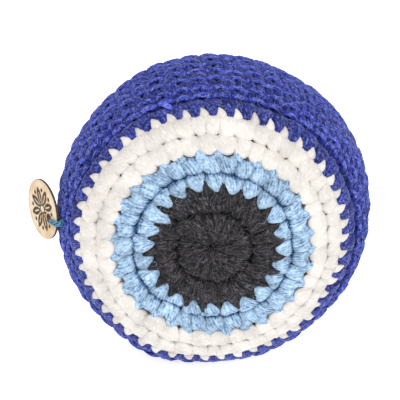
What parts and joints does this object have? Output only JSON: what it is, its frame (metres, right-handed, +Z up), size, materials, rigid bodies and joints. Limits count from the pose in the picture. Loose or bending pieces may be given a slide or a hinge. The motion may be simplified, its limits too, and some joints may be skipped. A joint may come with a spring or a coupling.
{
  "type": "crocheted evil eye ball",
  "caption": "Stuffed crocheted ball with a flat eye of concentric yarn rings on its front and a small round wooden tag held on a cord loop at its side.",
  "frame": {"origin": "middle of the flat patch under the ball, on the resting surface", "axes": "+Z up, the eye looks along -Y, the tag is on the -X side"},
  "size_m": [0.0657, 0.0427, 0.0589],
  "materials": {
    "black_yarn": "matt, hairy cotton yarn",
    "light_blue_yarn": "matt cotton yarn",
    "white_yarn": "matt cotton yarn, cream white",
    "royal_blue_yarn": "matt cotton yarn",
    "pellets": "satin",
    "tag_cord": "twisted cotton",
    "wood": "bare, scorched at the rim"
  },
  "bodies": {
    "ball": {"pupil_round_1": "black_yarn", "pupil_round_2": "black_yarn", "pupil_round_3": "black_yarn", "iris_round_4": "light_blue_yarn", "iris_round_5": "light_blue_yarn", "white_round_6": "white_yarn", "white_round_7": "white_yarn", "border_round_8": "royal_blue_yarn", "blue_round_9": "royal_blue_yarn", "blue_round_10": "royal_blue_yarn", "blue_round_11": "royal_blue_yarn", "blue_round_12": "royal_blue_yarn", "blue_round_13": "royal_blue_yarn", "blue_round_14": "royal_blue_yarn", "blue_round_15": "royal_blue_yarn", "blue_round_16": "royal_blue_yarn", "blue_round_17": "royal_blue_yarn", "blue_round_18": "royal_blue_yarn", "blue_round_19": "royal_blue_yarn", "blue_round_20": "royal_blue_yarn", "blue_round_21": "royal_blue_yarn", "blue_round_22": "royal_blue_yarn", "blue_round_23": "royal_blue_yarn", "blue_round_24": "royal_blue_yarn", "blue_round_25": "royal_blue_yarn", "closing_stitch": "royal_blue_yarn", "pellet_filling": "pellets"},
    "tag_loop": {"tag_cord": "tag_cord"},
    "tag": {"wooden_tag": "wood"}
  },
  "joints": [
    {"name": "tag_loop_tip", "type": "hinge", "parent": "ball", "child": "tag_loop", "pos_m": [-0.02957, -0.00617, 0.02959], "axis": [0.2712, -0.9611, 0.0533], "range_deg": [-5, 5]},
    {"name": "tag_swing", "type": "hinge", "parent": "tag_loop", "child": "tag", "pos_m": [-0.03105, -0.0068, 0.0296], "axis": [-0.866, -0.5, 0.0105], "range_deg": [-15, 55]}
  ]
}
